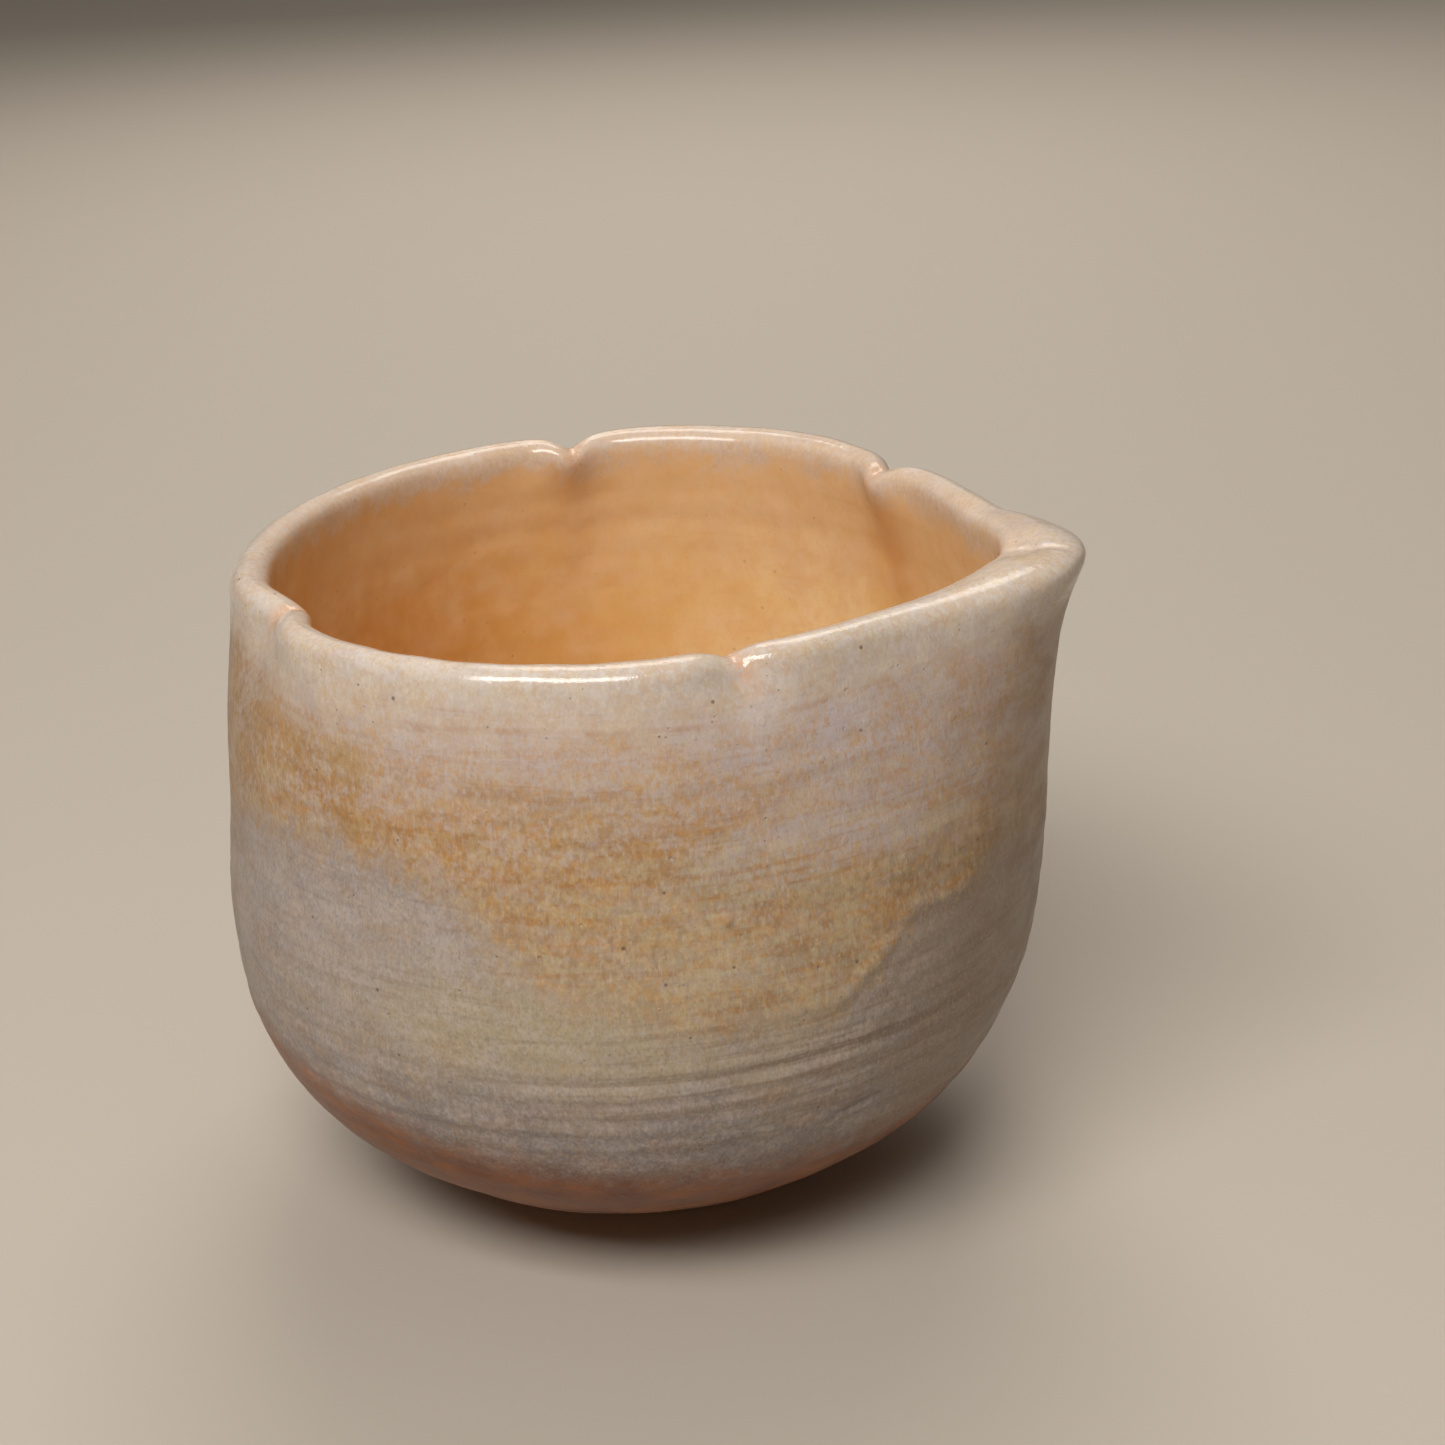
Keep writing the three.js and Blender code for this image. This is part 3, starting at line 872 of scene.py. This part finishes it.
def first_dip(look, field):
    """Grey beige, mauve at the sides, browner in the grooves; darker low down and olive on the right
    shoulder as painted shade.
    """
    tone = look.plus(field.height, look.step(field.patch, 0.3, 0.7, -7, 7))
    buff = look.times(look.layer("buff"), look.step(tone, 34, 56, 0, 0.7))
    # darker low down on the wall: painted shade
    colour = look.mix(tint("stone"), tint("pale stone"), look.step(tone, 28, 60))
    colour = look.mix(colour, tint("buff stone"), buff)
    colour = look.mix(colour, tint("umber"), look.step(field.cloud, 0.48, 0.7, 0, 0.35))
    colour = look.mix(colour, tint("cream stone"), look.times(look.layer("creamy"), 0.75))
    colour = mottled(look, colour, 71, orange=0.16, lilac=0.40, straw=0.14)
    # olive on the right shoulder: painted shade
    colour = look.mix(colour, tint("shade olive stone"), look.times(look.layer("shoulder_shade"), 0.6))
    groove = look.times(look.layer("grooves"), look.step(field.streak, 0.40, 0.52, 0.4, 0))
    groove = look.plus(groove, look.step(field.streak, 0.33, 0.46, 0.2, 0))
    colour = look.mix(colour, tint("groove"), groove)
    colour = look.mix(colour, tint("pale grain"), look.step(field.grain, 0.5, 0.7, 0, 0.35))
    return look.mix(colour, tint("dark grain"), look.step(field.grain, 0.48, 0.3, 0, 0.35))


def ochre_and_pink(look, field, below):
    """The second dip's ochre, buff in front, and the pinkish zone above it."""
    ochre = look.mix(tint("ochre"), tint("buff"), look.layer("buff"))
    ochre = look.mix(ochre, tint("burnt ochre"), look.step(field.cloud, 0.50, 0.68, 0, 0.6))
    # olive on the right shoulder: painted shade
    ochre = look.mix(ochre, tint("shade olive ochre"), look.layer("shoulder_shade"))
    pink = look.mix(tint("pink"), tint("pale pink"), look.step(field.height, 80, 92))
    pink = look.mix(pink, tint("tan"), look.step(field.cloud, 0.5, 0.7, 0, 0.5))
    pink = look.mix(pink, tint("gold"), look.times(look.layer("golden"), 0.9))
    pink = look.mix(pink, tint("rose"), look.times(look.layer("rosy"), 0.8))
    return look.mix(pink, ochre, look.step(below, -4, 5))


def second_dip_colours(look, field):
    """Ochre and pink, with lavender, embers, bands and the fine grain of the glaze."""
    height, cloud, grain = field.height, field.cloud, field.grain
    below = look.plus(look.layer("below_ochre"), look.times(field.blur, 1.3))
    upper = ochre_and_pink(look, field, below)
    sunny = look.times(look.layer("sunny"), look.step(cloud, 0.3, 0.7, 0.25, 0.6))
    upper = look.mix(upper, tint("sun"), sunny)
    mauve = look.times(look.layer("lavender"), look.step(field.patch, 0.3, 0.65, 0.6, 1.0))
    mauve = look.times(mauve, look.step(cloud, 0.66, 0.4, 0.45, 1.0))
    upper = look.mix(upper, tint("lavender"), mauve)
    ember = look.times(look.layer("embers"), look.step(field.mottle, 0.36, 0.6, 0.35, 0.75))
    upper = look.mix(upper, tint("ember"), ember)
    lines = look.step(field.streak, 0.52, 0.36, 0, 0.65)
    upper = look.mix(upper, tint("band"), look.times(look.step(below, -10, 2, 0.35, 1), lines))
    lilac = look.step(height, 60, 80, 0.25, 0.55)
    straw = look.step(height, 88, 70, 0.2, 0.4)
    upper = mottled(look, upper, 81, 0.5, lilac, straw)
    upper = look.mix(upper, tint("milky grain"), look.step(grain, 0.5, 0.7, 0, 0.2))
    upper = look.mix(upper, tint("milky fibre"), look.step(field.fibre, 0.54, 0.7, 0, 0.2))
    return look.mix(upper, tint("brown grain"), look.step(grain, 0.48, 0.3, 0, 0.22))


def dip_share(look, field):
    """Where the second dip covers the first: a slow change, quicker on the right."""
    above = look.plus(look.layer("above_dip"), field.blur)
    return look.blend(look.step(above, -4.0, 5.0), look.step(above, -2.0, 2.4), look.layer("crisp"))


def thread_share(look, height):
    """The thin orange throwing lines, broken here and there."""
    wobble = look.step(look.noise((14, 14, 5), 6, 1), 0.2, 0.8, -0.8, 0.8)
    level = look.plus(height, wobble)
    line = 0.0
    for at in THREAD_HEIGHTS:
        off = look.math("ABSOLUTE", look.math("SUBTRACT", level, at))
        line = look.plus(look.step(off, 0.05, 0.5, 1, 0), line)
    broken = look.step(look.noise((9, 9, 1.4), 7, 3), 0.34, 0.62, 0, 0.32)
    return look.times(look.times(line, broken), look.layer("threads"))


def painted_shade_and_fire_band(look, field, colour):
    """The colour with painted shade and a painted warm reflection on both flanks, and a band near the
    foot that is partly the fire's flash and partly painted shade.
    """
    # painted shade on the flanks, warm brown as a painted reflection
    flank_shade_share = look.times(look.layer("flank_shade"), look.step(field.cloud, 0.3, 0.7, 0.35, 0.6))
    colour = look.mix(colour, tint("flank_shade"), flank_shade_share)
    # the band near the foot: the fire's flash, darkened as painted shade
    band_level = look.plus(look.layer("above_flash_and_shade"), look.times(field.blur, 0.5))
    band = look.mix(tint("fire band and shade"), tint("pale fire band and shade"), look.step(field.cloud, 0.3, 0.7))
    return look.mix(band, colour, look.step(band_level, -5.0, 4.0))


def glaze_skin(look, field):
    """Height in mm of the outside glaze's unevenness, grain, grit and pinholes, calmer on the lip."""
    pinholes = look.spots(2.8, 0.3, 21, 0.4)
    grit = look.times(look.spots(2.3, 0.75, 25, 0.5), 0.05)
    waves = look.times(look.noise((4, 4, 2.4), 12, 3), 0.11)
    skin = look.plus(look.times(look.noise(1.6, 8, 3), 0.09), waves)
    fine = look.plus(look.times(field.grain, 0.035), look.times(field.mottle, 0.05))
    calm = look.step(field.height, 88, 96, 1.0, 0.55)
    rough = look.times(look.plus(look.plus(skin, fine), grit), calm)
    return look.plus(rough, look.times(pinholes, -0.12))


def outer_glaze():
    look = Look("outer_glaze")
    field = glaze_fields(look)
    colour = look.mix(first_dip(look, field), second_dip_colours(look, field), dip_share(look, field))
    colour = look.mix(colour, tint("thread"), thread_share(look, field.height))
    colour = painted_shade_and_fire_band(look, field, colour)
    colour = lip_colours(look, colour, 87.0)
    colour = iron_specks(look, colour, 11, 0.62)
    gloss = look.step(field.height, 90, 96, SATIN, GLOSSY)
    gloss = look.plus(gloss, look.step(field.cloud, 0.3, 0.7, -0.03, 0.06))
    normal = look.bump(glaze_skin(look, field))
    look.set(Base_Color=colour, Roughness=gloss, Normal=normal, IOR=GLAZE_IOR)
    return look.material


def inner_glaze():
    look = Look("inner_glaze")
    height = look.layer("height")
    grain = look.noise((0.5, 0.5, 0.8), 41, 2, 0.6)
    patch = look.noise(19, 42, 2)
    cloud = look.noise((8, 8, 9), 43, 3)
    mottle = look.noise((2.2, 2.2, 2.6), 46, 3)
    streak = look.noise((22, 22, 1.3), 44, 2)
    honey = look.mix(tint("pale honey"), tint("honey"), look.step(patch, 0.35, 0.65))
    honey = look.mix(honey, tint("honey cream"), look.step(cloud, 0.48, 0.7, 0, 0.5))
    # deeper orange on the inside's left: painted shade
    honey = look.mix(honey, tint("amber_shade"), look.times(look.layer("amber_shade"), 0.85))
    level = look.plus(height, look.step(cloud, 0.2, 0.8, -9, 9))
    colour = look.mix(honey, tint("honey pink"), look.step(level, 62, 90, 0, 0.75))
    colour = look.mix(colour, tint("well"), look.step(level, 26, 13, 0, 0.5))
    # darker orange below the notches: painted shade
    colour = look.mix(colour, tint("notch shade"), look.times(look.layer("shade_under_notches"), 0.6))
    colour = look.mix(colour, tint("honey streak"), look.step(streak, 0.4, 0.3, 0, 0.15))
    colour = look.mix(colour, tint("honey lump"), look.step(mottle, 0.40, 0.70, 0, 0.3))
    haze = look.step(look.noise(6, 47, 3), 0.45, 0.7, 0, 0.2)
    colour = look.mix(colour, tint("haze"), haze)
    colour = look.mix(colour, tint("honey grain"), look.step(grain, 0.48, 0.3, 0, 0.12))
    colour = lip_colours(look, colour, 92.0)
    colour = iron_specks(look, colour, 51, 0.2)
    bump = look.plus(look.times(look.noise(1.9, 45, 3), 0.05), look.times(grain, 0.01))
    gloss = look.step(cloud, 0.3, 0.7, 0.12, 0.24)
    look.set(Base_Color=colour, Roughness=gloss, Normal=look.bump(bump), IOR=GLAZE_IOR)
    return look.material


def bare_clay(name, dark, light, seed):
    """Dry, sandy stoneware with toasted patches."""
    look = Look(name)
    sand = look.noise(0.55, seed, 3, 0.65)
    cloud = look.noise(6, seed + 1, 3)
    wide = look.noise(16, seed + 2, 2)
    grog = look.spots(1.7, 0.36, seed + 3, 0.5)
    iron = look.spots(4.2, 0.4, seed + 4, 0.5)
    colour = look.mix(dark, light, look.step(cloud, 0.32, 0.68))
    colour = look.mix(colour, tint("toast"), look.step(wide, 0.45, 0.7, 0, 0.5))
    colour = look.mix(colour, tint("sand"), look.step(sand, 0.46, 0.3, 0, 0.5))
    colour = look.mix(colour, tint("grog"), look.times(grog, 0.65))
    colour = look.mix(colour, tint("clay iron"), look.times(iron, 0.8))
    bump = look.plus(look.times(sand, 0.16), look.times(grog, 0.07))
    look.set(Base_Color=colour, Roughness=look.step(sand, 0.3, 0.7, 0.72, 0.9), Normal=look.bump(bump))
    return look.material


# ---- the pieces ----
def finished(piece, node, material):
    """Gives the piece its material, hangs it under the root body and hides the CAD node it stands for.
    """
    piece.data.materials.append(material)
    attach(piece, "root")
    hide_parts(node)


coat = outer_coat()
paint(coat, **{name: values[:SEAM_ROW + 1] for name, values in LAYERS.items()})
finished(coat, "outer_glaze", outer_glaze())
lining = inner_coat()
paint(lining, **{name: values[SEAM_ROW:-1] for name, values in LAYERS.items()})
finished(lining, "inner_glaze", inner_glaze())
clay = bare_clay("clay", tint("clay"), tint("pale clay"), 60)
finished(clay_wall(), "clay_body", clay)
foot_clay = bare_clay("foot_clay", tint("foot clay"), tint("pale foot clay"), 70)
finished(turned_foot(), "foot_ring", foot_clay)


# ---- floor, light and camera ----
FLOOR_REACH = 12  # metres
WORLD_COLOUR = (1, 0.9, 0.78, 1)
WORLD_STRENGTH = 0.07
MIDDLE = (0, 0, 0.05)  # about the middle of the bowl, in metres
CAMERA = dict(azimuth=-70.38, elevation=25.03, distance=0.4111, heading=107.32, down=22.69, roll=-3.04)
LENS = 67.56
SENSOR = 36
CLIP_START = 0.02


def floor():
    size = FLOOR_REACH
    mesh = bpy.data.meshes.new("floor")
    corners = [(-size, -size, 0), (size, -size, 0), (size, size, 0), (-size, size, 0)]
    mesh.from_pydata(corners, [], [(0, 1, 2, 3)])
    piece = bpy.data.objects.new("floor", mesh)
    bpy.context.scene.collection.objects.link(piece)
    look = Look("pale_floor")
    look.set(Base_Color=tint("floor"), Roughness=0.8)
    mesh.materials.append(look.material)


def toward(azimuth, elevation, distance, about=MIDDLE):
    """A point at that polar angle and height angle, in degrees, around the bowl."""
    a, e = math.radians(azimuth), math.radians(elevation)
    way = Vector((math.cos(a) * math.cos(e), math.sin(a) * math.cos(e), math.sin(e)))
    return Vector(about) + way * distance


def softbox(name, place, size, power, colour, mirrored=True):
    """A rectangular light aimed at the bowl. One that isn't mirrored lights it without a highlight."""
    data = bpy.data.lights.new(name, "AREA")
    data.shape = "RECTANGLE"
    data.size, data.size_y = size
    data.energy = power
    data.color = colour
    lamp = bpy.data.objects.new(name, data)
    lamp.location = place
    lamp.visible_glossy = mirrored
    lamp.rotation_euler = (Vector(MIDDLE) - place).to_track_quat("-Z", "Y").to_euler()
    bpy.context.scene.collection.objects.link(lamp)


def studio():
    softbox("key", toward(-94, 50, 0.95), (0.66, 0.34), 8.9, (1, 0.97, 0.94))
    softbox("top", toward(98, 60, 1.2), (0.7, 0.5), 4.6, (1, 0.95, 0.88))
    softbox("back", toward(108, 30, 1.1), (0.6, 0.5), 3.4, (1, 0.95, 0.9), mirrored=False)
    softbox("sky", Vector((0, 0, 3)), (8, 8), 26, (1, 0.96, 0.9), mirrored=False)
    world = bpy.data.worlds.new("studio")
    world.use_nodes = True
    world.node_tree.nodes["Background"].inputs["Color"].default_value = WORLD_COLOUR
    world.node_tree.nodes["Background"].inputs["Strength"].default_value = WORLD_STRENGTH
    bpy.context.scene.world = world


def camera():
    """The photo's viewpoint. The camera takes up the lean that the bowl has in the photo."""
    data = bpy.data.cameras.new("camera")
    data.sensor_width = SENSOR
    data.lens = LENS
    data.clip_start = CLIP_START
    eye = bpy.data.objects.new("camera", data)
    about = (AXIS_X * MM, 0, MIDDLE[2])
    place = toward(CAMERA["azimuth"], CAMERA["elevation"], CAMERA["distance"], about)
    heading, down = math.radians(CAMERA["heading"]), math.radians(CAMERA["down"])
    level_part = math.cos(down)
    ahead = Vector((math.cos(heading) * level_part, math.sin(heading) * level_part, -math.sin(down)))
    right = ahead.cross(Vector((0, 0, 1))).normalized()
    level = Matrix((right, right.cross(ahead), -ahead)).transposed()
    roll = Matrix.Rotation(math.radians(CAMERA["roll"]), 3, "Z")
    eye.matrix_world = Matrix.Translation(place) @ (level @ roll).to_4x4()
    bpy.context.scene.collection.objects.link(eye)
    bpy.context.scene.camera = eye


floor()
studio()
camera()
view = bpy.context.scene.view_settings
view.view_transform = "Standard"
view.look = "None"

bpy.context.view_layer.update()
